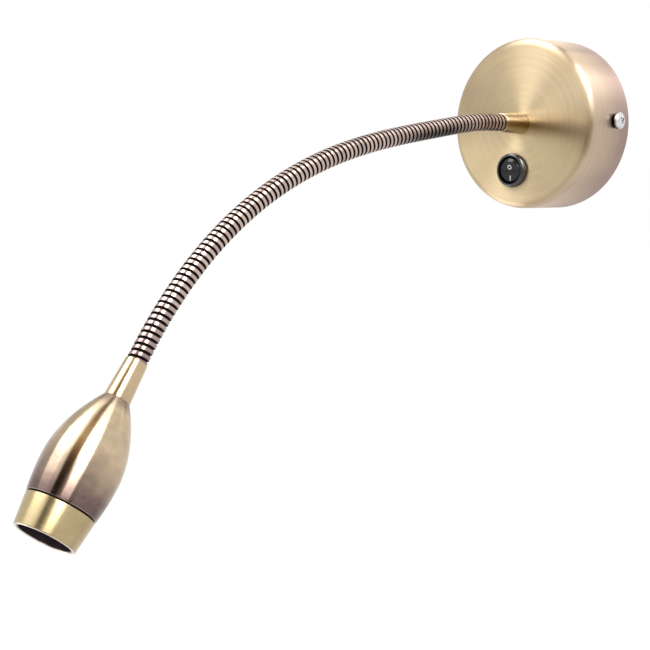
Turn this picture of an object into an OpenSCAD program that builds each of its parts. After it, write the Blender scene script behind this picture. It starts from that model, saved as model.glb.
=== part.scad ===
// Wall reading lamp: a round canopy with a rocker switch, a flexible ribbed stem and a spot head.
// The origin is the middle of the canopy's back. The wall is the plane y = 0 and the room is on the -Y side.
// The stem leaves the canopy level and hangs in the plane x = 0.

/* [Canopy] */
// Outer diameter of the canopy
canopy_d = 100; // [94:1:120]
// How far the canopy stands off the wall
canopy_depth = 38; // [36:0.5:50]
// Sheet thickness of the canopy
canopy_wall = 1.2; // [0.8:0.1:1.6]
// Outer radius of the rounded front edge
canopy_edge_r = 4.5; // [3:0.5:6]
// Diameter of the holes for the side screws
side_hole_d = 7.6; // [6.5:0.1:8.4]
// Distance of the side screws from the wall
side_screw_out = 14.5; // [12:0.5:18]
// Height of the side screws above the canopy's middle
side_screw_z = 1; // [-1:0.5:1]

/* [Wall bracket] */
// Width of the strap
strap_w = 18; // [16:1:22]
// Sheet thickness of the strap
strap_t = 1.5; // [1.2:0.1:2]
// Width of each bent tab
tab_w = 13; // [11:0.5:15]
// How far the tabs reach past the side screws
tab_past_screw = 5; // [4.5:0.5:8]
// Gap between a tab and the canopy's inside
tab_gap = 0.4; // [0.3:0.1:0.8]
// Distance between the two wall screw slots
slot_pitch = 60; // [56:1:64]
// Length of a wall screw slot
slot_len = 12; // [10:1:14]
// Width of a wall screw slot
slot_w = 4.4; // [4:0.1:5]
// Diameter of the hole for the supply cable
cable_hole_d = 12; // [10:1:14]

/* [Side screws] */
// Thread diameter of a side screw
screw_d = 5; // [4:0.5:5]
// Diameter of a side screw's head
screw_head_d = 9.6; // [9:0.1:10.5]
// Thickness of a side screw's head
screw_head_t = 3.7; // [2.8:0.1:4]
// Gap between the head and the canopy
screw_standoff = 1.6; // [0.3:0.1:2]
// How far a side screw reaches past its tab
screw_past_tab = 3; // [1:0.5:4]
// Width of a wing of the cross recess
recess_w = 1.1; // [0.9:0.1:1.3]
// Span of the cross recess
recess_span = 5; // [4:0.2:5.6]
// Depth of the cross recess
recess_depth = 1.5; // [1:0.1:1.8]

/* [Rocker switch] */
// Sideways place of the switch
switch_x = -5.6; // [-8:0.2:0]
// Distance of the switch's middle from the canopy's lower edge
switch_from_edge = 22.6; // [20:0.2:25]
// Outer diameter of the bezel
bezel_d = 20.5; // [20:0.5:22]
// How far the bezel stands off the canopy
bezel_h = 3.2; // [2.6:0.1:3.4]
// Height of the bezel's straight outer edge
bezel_edge = 0.8; // [0.4:0.1:1]
// Diameter of the well for the rocker
well_d = 16.6; // [16.2:0.1:17]
// Depth of the well behind the canopy's face
well_depth = 7; // [6:0.5:9]
// Outer diameter of the switch body behind the canopy
switch_body_d = 18.4; // [18.2:0.1:18.8]
// Length of the switch body behind the canopy
switch_body_len = 13; // [12:0.5:15]
// Diameter of the rocker
rocker_d = 15; // [14.2:0.1:15.2]
// Full angle between the rocker's two positions
rocker_travel = 20; // [16:1:20]
// Depth of the rocker's pivot behind the canopy's face
pivot_depth = 1.3; // [1.2:0.1:1.8]
// Height of the rocker's middle above its pivot
rocker_rise = 3.5; // [3:0.1:3.8]
// Height of the bevel on the rocker's ends
rocker_bevel = 1.8; // [1:0.1:2.2]
// Diameter of the rocker's pivot pins
pivot_d = 2; // [1.6:0.1:2]
// Distance of the off mark from the rocker's middle
off_mark_out = 2.5; // [2.3:0.1:3.6]
// Distance of the on mark from the rocker's middle
on_mark_out = 4; // [2.3:0.1:4.2]
// Height of a mark from top to bottom
mark_size = 2.9; // [2:0.1:3]
// Thickness of a mark's line
mark_line = 0.6; // [0.4:0.1:0.8]
// Width of a terminal blade
blade_w = 4.8; // [4:0.2:6.3]
// Thickness of a terminal blade
blade_t = 0.8; // [0.6:0.1:1]
// How far the blades stand out behind the switch body
blade_len = 7; // [6:0.5:8]
// Distance between the two blades
blade_pitch = 7; // [6:0.5:8]

/* [Ferrules] */
// Visible length of a ferrule
ferrule_len = 20; // [15:0.5:25]
// Diameter of a ferrule at the stem
ferrule_tip_d = 10.8; // [10.4:0.1:12]
// Diameter of a ferrule at its foot
ferrule_foot_d = 12.8; // [12.2:0.1:14]
// Diameter of the threaded shank
thread_d = 9.8; // [9:0.1:10]
// Diameter of the lead's way through a ferrule
ferrule_bore = 4; // [3.8:0.1:4.4]
// Length of the spigot inside the stem
spigot_len = 6; // [4:0.5:8]
// Width of a lock nut across its flats
nut_flats = 14; // [13:0.5:15]
// Thickness of a lock nut
nut_t = 3; // [2.5:0.1:4]
// How far a shank reaches past its nut
shank_past_nut = 1.5; // [1:0.1:2.5]
// Outer diameter of the canopy's washer
washer_d = 18; // [16:0.5:20]
// Thickness of the canopy's washer
washer_t = 1; // [0.8:0.1:1.5]

/* [Stem] */
// Outer diameter of the ribbed stem
hose_d = 10; // [9.6:0.1:10.2]
// Diameter of the stem's bore
hose_bore = 6; // [5.8:0.1:6.4]
// Diameter at the bottom of the grooves
groove_d = 8.6; // [8.2:0.1:9]
// Width of a rib along the stem
rib_w = 2.15; // [1.9:0.05:2.2]
// Bevel on both edges of a rib
rib_bevel = 0.4; // [0.3:0.05:0.5]
// Angle in degrees by which a rib's flanks spread towards the bore
rib_flank = 6; // [4:0.5:7]
// Distance from one rib to the next
rib_pitch = 3.25; // [3.25:0.05:3.4]
// Turn in degrees of the bend just past the canopy
root_bend = 8; // [0:0.5:12]
// Length along the stem over which that bend is made
root_bend_len = 28; // [20:1:40]
// Turn in degrees of the long droop if it ran to its end
droop_bend = 60.5; // [20:0.5:80]
// Distance along the stem where the droop starts
droop_from = 55; // [40:1:80]
// Length along the stem over which the droop is spread
droop_len = 350; // [300:5:400]

/* [Lead] */
// Diameter of the lead inside the stem
lead_d = 3; // [2.6:0.1:3.2]
// Diameter of a single wire in the canopy
wire_d = 1.8; // [1.4:0.1:2.2]

/* [Head] */
// Length of the head from its ferrule to its mouth
head_len = 70; // [68:0.5:80]
// Largest diameter of the head
head_d = 37.2; // [36:0.2:42]
// Distance of the largest diameter from the ferrule
head_widest = 35.5; // [32:0.5:40]
// Diameter of the head's neck
neck_d = 12.9; // [12.8:0.1:15]
// How full the upper curve of the head is
head_fullness = 1.95; // [1.7:0.05:2.3]
// Distance of the seam with the front ring from the ferrule
seam_at = 54; // [52:0.5:58]
// Diameter of the head at the seam
seam_d = 33.8; // [33.4:0.1:36]
// Width of the seam groove
seam_gap = 0.8; // [0.3:0.1:1]
// Diameter of the front ring at its mouth
mouth_d = 30; // [29.4:0.1:32]
// Radius of the rounded mouth edge
mouth_edge_r = 0.8; // [0.4:0.1:0.9]
// Length of solid metal behind the neck
nose_len = 6; // [5:0.5:7]
// Diameter of the rear chamber for the lock nut
rear_bore_d = 18; // [17.6:0.1:19]
// Distance of the shoulder that the heat sink seats on
shoulder_at = 24; // [22:0.5:26]
// Wall of the housing at the seam
housing_wall = 1.6; // [1.3:0.1:1.8]
// Length of the ring's spigot inside the housing
ring_spigot = 6; // [4:0.5:6]
// Inner diameter of the front ring
ring_bore_d = 26.8; // [25:0.1:27]

/* [Light source] */
// Length of the heat sink
sink_len = 14; // [12:0.5:14]
// Diameter of the lead's hole through the heat sink
sink_hole_d = 4.4; // [4:0.1:4.8]
// Distance of that hole from the middle
sink_hole_out = 7.2; // [7:0.1:7.4]
// Diameter of the light board
board_d = 20; // [18:0.5:20.6]
// Thickness of the light board
board_t = 1.6; // [1:0.1:2]
// Side of the square light emitter
emitter_w = 3.5; // [3:0.1:5]
// Thickness of the emitter under its dome
emitter_t = 0.8; // [0.5:0.1:1]
// Radius of the emitter's dome
dome_r = 1.4; // [1:0.1:1.4]
// Inner diameter of the lens holder
holder_bore_d = 21.2; // [20.8:0.1:22]
// Wall of the lens holder
holder_wall = 1; // [0.8:0.1:1.4]
// Thickness of the lens holder's flange
flange_t = 2; // [1.5:0.1:2.5]
// Diameter of the lens at its front
lens_d = 20; // [18:0.5:20.4]
// Diameter of the lens at its back
lens_back_d = 9; // [8:0.25:9.5]
// Depth of the hollow at the back of the lens
lens_hollow = 3; // [2:0.25:3.25]
// Wall of the lens round its hollow
lens_rim = 1; // [0.6:0.1:1.2]
// Gap between the emitter's dome and the lens
dome_gap = 1.3; // [1.2:0.1:2]
// Wall of the anti-glare tube
glare_wall = 0.6; // [0.4:0.1:0.8]
// How far the anti-glare tube stops behind the mouth
glare_back = 0.4; // [0.2:0.1:3]
// Distance of the board screws from the middle
board_screw_out = 7; // [6.5:0.1:7.5]
// Thread diameter of a board screw
board_screw_d = 2; // [1.6:0.1:2.2]
// Length of a board screw under its head
board_screw_len = 5; // [4:0.5:7]

/* [Driver] */
// Length of the driver's case
driver_l = 38; // [34:1:40]
// Height of the driver's case
driver_h = 18; // [16:0.5:19]
// Thickness of the driver's case
driver_t = 14; // [12:0.5:15]
// Wall of the driver's case
driver_wall = 1; // [0.8:0.1:1.4]
// Height of the driver's middle above the canopy's middle
driver_z = 24; // [22:0.5:25]
// Thickness of the adhesive pad that holds the driver
pad_t = 1; // [0.8:0.1:1.5]
// Thickness of the driver's circuit board
pcb_t = 1.2; // [0.8:0.1:1.6]

/* [Terminal block] */
// Length of the terminal block
block_l = 17; // [15:0.5:19]
// Height of the terminal block
block_h = 16; // [14:0.5:16]
// How far the terminal block stands off the strap
block_t = 12; // [10:0.5:13]
// Sideways place of the terminal block's middle
block_x = -17.5; // [-19:0.5:-17]
// Distance between the two terminals
pole_pitch = 8; // [7:0.5:8.5]
// Outer diameter of a brass terminal
insert_d = 5; // [4.5:0.1:5.4]
// Diameter of the hole for a wire in a terminal
insert_bore = 2.6; // [2.2:0.1:3]
// Sideways place of the earth screw
earth_x = 16; // [14:0.5:18]

/* [Hidden] */

// Smoothness of round faces, and of small ones
fine = 96;
small = 48;
// Clearances: a turning pin in its hole, a part that slides into another, a screw in a plain hole
pin_fit = 0.05;
slide_fit = 0.05;
hole_fit = 0.15;
// Room left beside a wire or a lead
wire_fit = 0.4;
// Gap between small parts that only stand near each other
near_gap = 0.5;
// Length by which a cut runs past the face that it opens
past = 1;

canopy_r = canopy_d / 2;
inner_r = canopy_r - canopy_wall;
inner_face = canopy_depth - canopy_wall;
switch_z = switch_from_edge - canopy_r;

// The stem is 16 stiff links of 6 ribs. Link i starts where link i - 1 ends.
links = 16;
link_ribs = 6;
link_len = link_ribs * rib_pitch;

// Eases from 0 to 1
function ease(t) = let (c = max(0, min(1, t))) c * c * (3 - 2 * c);
// Degrees by which link i points below level
function droop(i) = let (s = i * link_len)
    root_bend * ease(s / root_bend_len) + droop_bend * ease((s - droop_from) / droop_len);
// Direction of link i, and the points where the links meet
function heading(i) = [0, -cos(droop(i)), -sin(droop(i))];
stem_root = [0, -(canopy_depth + ferrule_len), 0];
joints = [for (i = 0, p = stem_root; i <= links; p = p + heading(i) * link_len, i = i + 1) p];
stem_end = joints[links];
head_tilt = droop(links - 1);
head_dir = heading(links - 1);

// A point in the head, at a distance along its axis from the ferrule's foot and a height off that axis
function head_point(along, up) = stem_end + head_dir * (ferrule_len + along)
    + [0, -sin(head_tilt), cos(head_tilt)] * up;

function unit(v) = v / norm(v);
// Catmull-Rom curve through the points, with n steps in each span
function span(a, b, c, d, t) = 0.5 * (2 * b + (c - a) * t + (2 * a - 5 * b + 4 * c - d) * t * t
    + (3 * b - a - 3 * c + d) * t * t * t);
function curve(p, n) = let (last = len(p) - 1)
    concat([for (i = [0:last - 1]) for (k = [0:n - 1])
        span(p[max(i - 1, 0)], p[i], p[i + 1], p[min(i + 2, last)], k / n)], [p[last]]);
function tangent(p, i) = unit(p[min(i + 1, len(p) - 1)] - p[max(i - 1, 0)]);
function level(v, t) = unit(v - (v * t) * t);
// A tube of round section along a row of points
module tube(p, d, sides, side_dir) {
    n = [for (i = 0, v = level(side_dir, tangent(p, 0)); i < len(p);
        i = i + 1, v = level(v, tangent(p, min(i, len(p) - 1)))) v];
    rings = [for (i = [0:len(p) - 1]) for (k = [0:sides - 1])
        p[i] + d / 2 * (cos(360 * k / sides) * n[i] + sin(360 * k / sides) * cross(tangent(p, i), n[i]))];
    last = (len(p) - 1) * sides;
    skin = [for (i = [0:len(p) - 2]) for (k = [0:sides - 1])
        let (a = i * sides + k, b = i * sides + (k + 1) % sides)
        each [[a, a + sides, b + sides], [a, b + sides, b]]];
    caps = [[for (k = [0:sides - 1]) k], [for (k = [sides - 1:-1:0]) last + k]];
    polyhedron(points = rings, faces = concat(skin, caps), convexity = 10);
}

// Places a child that is drawn with z away from the wall and y up
module off_wall(x = 0, z = 0, out = 0) {
    translate([x, -out, z]) rotate([90, 0, 0]) children();
}

// Places a child that is drawn with z along link i, from the link's start
module on_link(i) {
    translate(joints[i]) rotate([90 + droop(i), 0, 0]) children();
}

// Places a child that is drawn with z along the head, from the ferrule's foot
module on_head() {
    translate(head_point(0, 0)) rotate([90 + head_tilt, 0, 0]) children();
}

module ring(outer, inner, h) {
    difference() {
        cylinder(d = outer, h = h, $fn = fine);
        translate([0, 0, -past]) cylinder(d = inner, h = h + 2 * past, $fn = fine);
    }
}

// Canopy, its bracket and its screws

switch_hole_d = switch_body_d + 2 * hole_fit;

module dome_outline(r, h, edge) {
    square([r - edge, h]);
    square([r, h - edge]);
    translate([r - edge, h - edge]) circle(r = edge, $fn = fine);
}

module canopy() {
    color("#c8ae80") difference() {
        off_wall() difference() {
            rotate_extrude($fn = 2 * fine) dome_outline(canopy_r, canopy_depth, canopy_edge_r);
            translate([0, 0, -past]) rotate_extrude($fn = 2 * fine)
                dome_outline(inner_r, inner_face + past, canopy_edge_r - canopy_wall);
            translate([0, 0, inner_face - past])
                cylinder(d = thread_d + 2 * hole_fit, h = canopy_wall + 2 * past, $fn = small);
            translate([switch_x, switch_z, inner_face - past])
                cylinder(d = switch_hole_d, h = canopy_wall + 2 * past, $fn = fine);
        }
        translate([-canopy_r - past, -side_screw_out, side_screw_z]) rotate([0, 90, 0])
            cylinder(d = side_hole_d, h = canopy_d + 2 * past, $fn = small);
    }
}

// The tabs' outer faces stay clear of the canopy's inside at the tabs' corners
tab_top = abs(side_screw_z) + tab_w / 2;
tab_out = sqrt(inner_r * inner_r - tab_top * tab_top) - tab_gap;
tab_len = side_screw_out + tab_past_screw;

module slot(length, width, h) {
    for (s = [-1, 1]) translate([s * (length - width) / 2, 0, 0]) cylinder(d = width, h = h, $fn = small);
    translate([-(length - width) / 2, -width / 2, 0]) cube([length - width, width, h]);
}

module wall_bracket() {
    color("#2b2b2e") off_wall() difference() {
        union() {
            translate([-tab_out, -strap_w / 2, 0]) cube([2 * tab_out, strap_w, strap_t]);
            for (s = [-1, 1]) translate([s * (tab_out - strap_t / 2), side_screw_z, tab_len / 2])
                cube([strap_t, tab_w, tab_len], center = true);
        }
        for (s = [-1, 1]) translate([s * slot_pitch / 2, 0, -past])
            slot(slot_len, slot_w, strap_t + 2 * past);
        translate([0, 0, -past]) cylinder(d = cable_hole_d, h = strap_t + 2 * past, $fn = small);
        translate([earth_x, 0, -past])
            cylinder(d = earth_d + 2 * slide_fit, h = strap_t + 2 * past, $fn = small);
        translate([-canopy_r, side_screw_z, side_screw_out]) rotate([0, 90, 0])
            cylinder(d = screw_d + 2 * slide_fit, h = canopy_d, $fn = small);
    }
}

// A pan head with a cross recess, on a shank that points down
module pan_screw(d, length, head_d, head_t, wing_w, wing_span, wing_depth) {
    difference() {
        union() {
            translate([0, 0, -length]) cylinder(d = d, h = length, $fn = small);
            rotate_extrude($fn = small) intersection() {
                square([head_d / 2, head_t]);
                translate([0, head_t - pan_r(head_d, head_t)]) circle(r = pan_r(head_d, head_t), $fn = fine);
            }
        }
        for (a = [0, 90]) rotate([0, 0, a]) translate([-wing_span / 2, -wing_w / 2, head_t - wing_depth])
            cube([wing_span, wing_w, wing_depth + past]);
    }
}

// Crown radius of a pan head whose rim is half as high as its middle
function pan_r(d, t) = (d * d / 4 + t * t / 4) / t;

module canopy_screws() {
    reach = canopy_r + screw_standoff - tab_out + strap_t + screw_past_tab;
    color("#dfe1e4") for (s = [-1, 1])
        translate([s * (canopy_r + screw_standoff), -side_screw_out, side_screw_z])
            rotate([0, s * 90, 0]) rotate([0, 0, 45])
                pan_screw(screw_d, reach, screw_head_d, screw_head_t, recess_w, recess_span, recess_depth);
}

// Ferrules with their nuts and washer

// A ferrule stands on its foot at z = 0, with the stem above it and the threaded shank below
module ferrule(shank) {
    difference() {
        union() {
            cylinder(d1 = ferrule_foot_d, d2 = ferrule_tip_d, h = ferrule_len, $fn = fine);
            translate([0, 0, -shank]) cylinder(d = thread_d, h = shank + past, $fn = fine);
            translate([0, 0, ferrule_len - past])
                cylinder(d = hose_bore - 2 * slide_fit, h = spigot_len + past, $fn = small);
        }
        translate([0, 0, -shank - past])
            cylinder(d = ferrule_bore, h = shank + ferrule_len + spigot_len + 2 * past, $fn = small);
    }
}

module lock_nut() {
    difference() {
        cylinder(d = nut_flats / cos(30), h = nut_t, $fn = 6);
        translate([0, 0, -past]) cylinder(d = thread_d + 2 * slide_fit, h = nut_t + 2 * past, $fn = fine);
    }
}

upper_shank = canopy_wall + washer_t + nut_t + shank_past_nut;
lower_shank = nose_len + nut_t + shank_past_nut;

module upper_ferrule() {
    color("#b9995f") off_wall(out = canopy_depth) ferrule(upper_shank);
}

module upper_washer() {
    color("#c9ccd0") off_wall(out = inner_face - washer_t) ring(washer_d, thread_d + 2 * hole_fit, washer_t);
}

module upper_nut() {
    color("#c2a060") off_wall(out = inner_face - washer_t - nut_t) lock_nut();
}

module lower_ferrule() {
    color("#b9995f") on_head() rotate([180, 0, 0]) ferrule(lower_shank);
}

module lower_nut() {
    color("#c2a060") on_head() translate([0, 0, nose_len]) lock_nut();
}

// Rocker switch

rocker_r = rocker_d / 2;
half_travel = rocker_travel / 2;
well_r = well_d / 2;
// The bezel is domed from its outer edge up to a narrow lip, and the rocker's pins stop short of the body's skin
bezel_lip = 0.4;
lip_r = well_r + bezel_lip;
pin_short = 0.1;
pin_reach = switch_body_d / 2 - pin_short;

// Places a child that is drawn with z out of the canopy's face and y up, in the middle of the switch
module on_switch() {
    off_wall(switch_x, switch_z, canopy_depth) children();
}

// Places a child in the rocker's own frame, whose x axis is the pivot, as it lies when switched on
module on_rocker() {
    on_switch() translate([0, 0, -pivot_depth]) rotate([half_travel, 0, 0]) children();
}

module switch_body() {
    color("#1b1b1e") on_switch() difference() {
        union() {
            rotate_extrude($fn = fine) polygon(concat([[0, 0], [bezel_d / 2, 0]],
                [for (a = [0:15:90]) [lip_r + (bezel_d / 2 - lip_r) * cos(a),
                    bezel_edge + (bezel_h - bezel_edge) * sin(a)]],
                [[0, bezel_h]]));
            translate([0, 0, -switch_body_len])
                cylinder(d = switch_body_d, h = switch_body_len + bezel_edge, $fn = fine);
        }
        translate([0, 0, -well_depth]) cylinder(d = well_d, h = well_depth + bezel_h + past, $fn = fine);
        translate([-bezel_d, 0, -pivot_depth]) rotate([0, 90, 0])
            cylinder(d = pivot_d + 2 * pin_fit, h = 2 * bezel_d, $fn = small);
        for (s = [-1, 1]) translate([0, s * blade_pitch / 2, -switch_body_len])
            cube([blade_w + 2 * slide_fit, blade_t + 2 * slide_fit, 4 * switch_body_len], center = true);
    }
}

// The rocker's front is two flats with a shallow hollow between them, over the pivot
rocker_skirt = 3;
hollow_w = 0.9;
function rocker_front(y) = rocker_rise
    + tan(half_travel) * (abs(y) > hollow_w ? abs(y) : (y * y / hollow_w + hollow_w) / 2);

module switch_rocker() {
    rim_h = rocker_front(rocker_r);
    far = rocker_r + past;
    color("#222226") on_rocker() {
        intersection() {
            rotate_extrude($fn = fine) polygon([[0, -rocker_skirt], [rocker_r, -rocker_skirt],
                [rocker_r, rim_h - rocker_bevel], [rocker_r - rocker_bevel, rim_h], [0, rim_h]]);
            rotate([90, 0, 90]) translate([0, 0, -far]) linear_extrude(2 * far)
                polygon(concat([[-far, -rocker_skirt], [far, -rocker_skirt], [far, rocker_front(far)]],
                    [for (k = [4:-1:-4]) [k * hollow_w / 4, rocker_front(k * hollow_w / 4)]],
                    [[-far, rocker_front(far)]]));
        }
        translate([-pin_reach, 0, 0]) rotate([0, 90, 0])
            cylinder(d = pivot_d, h = 2 * pin_reach, $fn = small);
    }
}

// A ring for off on the upper flat and a bar for on on the lower one
mark_t = 0.12;

module rocker_marks() {
    color("white") on_rocker() {
        translate([0, off_mark_out, rocker_front(off_mark_out)]) rotate([half_travel, 0, 0])
            ring(mark_size, mark_size - 2 * mark_line, mark_t);
        translate([0, -on_mark_out, rocker_front(on_mark_out)]) rotate([-half_travel, 0, 0])
            translate([-mark_line / 2, -mark_size / 2, 0]) cube([mark_line, mark_size, mark_t]);
    }
}

// The blades are held in the switch body over this length
blade_seat = 3;

module switch_terminals() {
    color("#d8c08a") on_switch() for (s = [-1, 1])
        translate([-blade_w / 2, s * blade_pitch / 2 - blade_t / 2, -switch_body_len - blade_len])
            cube([blade_w, blade_t, blade_len + blade_seat]);
}

// Driver on its adhesive pad

driver_front = inner_face - pad_t;

module driver_pad() {
    color("#e8e4da") off_wall(z = driver_z, out = driver_front + pad_t / 2)
        cube([driver_l, driver_h, pad_t], center = true);
}

// A box that is open towards its pad
module driver_case() {
    color("#f0f0ee") off_wall(z = driver_z, out = driver_front - driver_t) difference() {
        translate([-driver_l / 2, -driver_h / 2, 0]) cube([driver_l, driver_h, driver_t]);
        translate([-driver_l / 2 + driver_wall, -driver_h / 2 + driver_wall, driver_wall])
            cube([driver_l - 2 * driver_wall, driver_h - 2 * driver_wall, driver_t]);
        for (s = [-1, 1]) translate([s * driver_l / 2, 0, driver_mouth]) rotate([0, 90, 0])
            cylinder(d = lead_d + 2 * wire_fit, h = 4 * driver_wall, center = true, $fn = small);
    }
}

// The wires enter the case's ends this far in front of its back
driver_mouth = 4;

// The circuit board rests on the pad and carries a transformer and two capacitors
transformer_w = 10;
capacitor_d = 6.5;

module driver_board() {
    board_l = driver_l - 2 * driver_wall - 2 * near_gap;
    board_h = driver_h - 2 * driver_wall - 2 * near_gap;
    core = min(transformer_w, board_h - 4 * near_gap, driver_t - driver_wall - pcb_t - 4 * near_gap);
    can = min(capacitor_d, board_h / 2 - 2 * near_gap);
    color("#3d7a4a") off_wall(z = driver_z, out = driver_front - pcb_t) union() {
        translate([-board_l / 2, -board_h / 2, 0]) cube([board_l, board_h, pcb_t]);
        translate([can - core / 2, -core / 2, -core]) cube([core, core, core + pcb_t / 2]);
        for (s = [-1, 1]) translate([-core / 2 - near_gap, s * board_h / 4, -core])
            cylinder(d = can, h = core + pcb_t / 2, $fn = small);
    }
}

// Terminal block and earth screw on the strap

// The wires run into the terminals along x, at this distance from the wall
pole_out = strap_t + block_t / 2;
pole_screw_d = 3;
// How far a terminal stays behind the block's ends, and its two screws from its middle
insert_back = 2;
insert_l = block_l - 2 * insert_back;
pole_screw_x = insert_l / 4;
// The grub screws reach this far into the terminal's bore and stay this far below the block's face
grub_bite = 0.3;
grub_sunk = 1;
grub_slot_w = 0.5;
grub_slot_depth = 0.8;

module at_pole_screws(out) {
    for (s = [-1, 1]) for (t = [-1, 1]) translate([s * pole_screw_x, t * pole_pitch / 2, out]) children();
}

module terminal_block() {
    color("#efe9dc") off_wall(x = block_x) difference() {
        translate([-block_l / 2, -block_h / 2, strap_t]) cube([block_l, block_h, block_t]);
        for (s = [-1, 1]) translate([-block_l, s * pole_pitch / 2, pole_out]) rotate([0, 90, 0])
            cylinder(d = insert_d + 2 * slide_fit, h = 2 * block_l, $fn = small);
        at_pole_screws(pole_out) cylinder(d = pole_screw_d + 2 * hole_fit, h = block_t, $fn = small);
    }
}

module terminal_inserts() {
    color("#cfae62") off_wall(x = block_x) difference() {
        for (s = [-1, 1]) translate([0, s * pole_pitch / 2, pole_out]) rotate([0, 90, 0]) difference() {
            cylinder(d = insert_d, h = insert_l, center = true, $fn = small);
            cylinder(d = insert_bore, h = 2 * insert_l, center = true, $fn = small);
        }
        at_pole_screws(pole_out) cylinder(d = pole_screw_d + 2 * slide_fit, h = insert_d, $fn = small);
    }
}

// Grub screws that hold the wires in their terminals
module terminal_screws() {
    grub_from = insert_bore / 2 - grub_bite;
    grub_l = block_t / 2 - grub_from - grub_sunk;
    color("#c9ccd0") off_wall(x = block_x) at_pole_screws(pole_out + grub_from) difference() {
        cylinder(d = pole_screw_d, h = grub_l, $fn = small);
        translate([-pole_screw_d, -grub_slot_w / 2, grub_l - grub_slot_depth])
            cube([2 * pole_screw_d, grub_slot_w, grub_slot_depth + past]);
    }
}

// The earth screw clamps the ring terminal of the earth wire on the strap
earth_d = 4;
earth_ring_t = 0.8;
earth_head_t = 2.4;
earth_recess = [0.8, 3.6, 1.2];

module earth_screw() {
    color("#9fb27a") off_wall(x = earth_x, out = strap_t + earth_ring_t) pan_screw(earth_d,
        earth_ring_t + strap_t, 2 * earth_d, earth_head_t, earth_recess[0], earth_recess[1], earth_recess[2]);
}

module earth_ring() {
    color("#5f9e3f") off_wall(x = earth_x, out = strap_t)
        ring(2 * earth_d, earth_d + 2 * slide_fit, earth_ring_t);
}

// Wires and lead. Their routes are hand-set points in the canopy, as x, y, z.

wire_sides = 8;
// How far a wire reaches into its terminal
wire_in = 6.5;
blade_end = [switch_x, -(canopy_depth - switch_body_len - blade_len), switch_z];
pole_left = [block_x - block_l / 2, -pole_out, pole_pitch / 2];
pole_right = [block_x + block_l / 2, -pole_out, -pole_pitch / 2];
driver_in = [-driver_l / 2, -(driver_front - driver_t + driver_mouth), driver_z];
driver_out = [driver_l / 2, -(driver_front - driver_t + driver_mouth), driver_z];

// From the lower terminal to the switch's lower blade
module live_wire() {
    end = blade_end + [0, 0, -blade_pitch / 2];
    color("#7a4a2a") tube(curve([pole_right - [wire_in, 0, 0], pole_right, pole_right + [2, 0, 0],
        pole_right + [4.5, -0.5, -3], end + [0, 4.5, 13], end + [0, 6.5, 6], end + [0, 4, 0.4],
        end + [0, 3, 0], end + [0, 1.5, 0], end], 4), wire_d, wire_sides, [0, 1, 0.1]);
}

// From the switch's upper blade round the terminal block to the driver
module switched_wire() {
    start = blade_end + [0, 0, blade_pitch / 2];
    color("#2b2b2e") tube(curve([start, start + [0, 1.5, 0], start + [0, 3, 0], start + [-8, 5, 5],
        [-31, start[1] + 2, -14], [-35, -18, -2], [-33, -19, 12], driver_in + [-8, 0, -4],
        driver_in + [-3.5, 0, -0.4], driver_in, driver_in + [2, 0, 0]], 4), wire_d, wire_sides, [0, 1, 0.1]);
}

// From the upper terminal to the driver, where it ends beside the switched wire
module neutral_wire() {
    color("#3b62a8") tube(curve([pole_left + [wire_in, 0, 0], pole_left, pole_left + [-2, 0, 0],
        pole_left + [-4.5, -1.5, 7], driver_in + [-6, 4, -5], driver_in + [-3, 2.4, -1],
        driver_in + [-1.2, 2.2, 0]], 4), wire_d, wire_sides, [0, 1, 0.1]);
}

// From the driver through the stem to the light board
module arm_lead() {
    shank_end = inner_face - washer_t - nut_t - shank_past_nut;
    color("#1d1d1f") tube(curve(concat(
        [driver_out + [-2, 0, 0], driver_out, driver_out + [2, 0, 0], driver_out + [6, 1.5, -3],
            [24, -17, 12], [14, -13, 4], [5, -15, 0.5], [0, -(shank_end - 5), 0], [0, -(shank_end - 1), 0],
            [0, -canopy_depth, 0]],
        joints,
        [head_point(0, 0), head_point(lower_shank / 2, 0), head_point(lower_shank, 0),
            head_point(lower_shank + 3, 0.8), head_point(shoulder_at - 3, sink_hole_out - 0.8),
            head_point(shoulder_at, sink_hole_out), head_point(shoulder_at + sink_len / 2, sink_hole_out),
            head_point(sink_end + board_t, sink_hole_out)]), 2),
        lead_d, wire_sides, [1, 0, 0.1]);
}

// Stem: each link is six flat-topped ribs on a core. At its ends the core stops at the last rib's middle,
// so two links can turn on each other in the groove between them.
module rib_outline() {
    crown_r = hose_d / 2;
    shoulder_r = crown_r - rib_bevel;
    root = rib_w / 2 + shoulder_r * tan(rib_flank);
    polygon([[0, -root], [shoulder_r, -rib_w / 2], [crown_r, rib_bevel - rib_w / 2],
        [crown_r, rib_w / 2 - rib_bevel], [shoulder_r, rib_w / 2], [0, root]]);
}

module hose_link(i) {
    first = i == 0 ? 0 : rib_pitch / 2;
    last = i == links - 1 ? link_len : link_len - rib_pitch / 2;
    color("#a08a6c") on_link(i) rotate_extrude($fn = small) difference() {
        union() {
            translate([0, first]) square([groove_d / 2, last - first]);
            for (k = [0:link_ribs - 1]) translate([0, (k + 0.5) * rib_pitch]) rib_outline();
        }
        translate([0, -past]) square([hose_bore / 2, link_len + 2 * past]);
    }
}

// Head

head_r = head_d / 2;
seam_r = seam_d / 2;
housing_bore_r = seam_r - housing_wall;
ring_start = seam_at + seam_gap;
sink_end = shoulder_at + sink_len;
flange_from = seam_at - ring_spigot - flange_t;
flange_end = flange_from + flange_t;

// Outer radius of the head: a full curve out to the widest place and a flatter one in to the seam
function head_outer(h) = h < head_widest
    ? neck_d / 2 + (head_r - neck_d / 2) * (1 - pow(1 - h / head_widest, head_fullness))
    : head_r - (head_r - seam_r) * pow((h - head_widest) / (seam_at - head_widest), 2);

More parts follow.
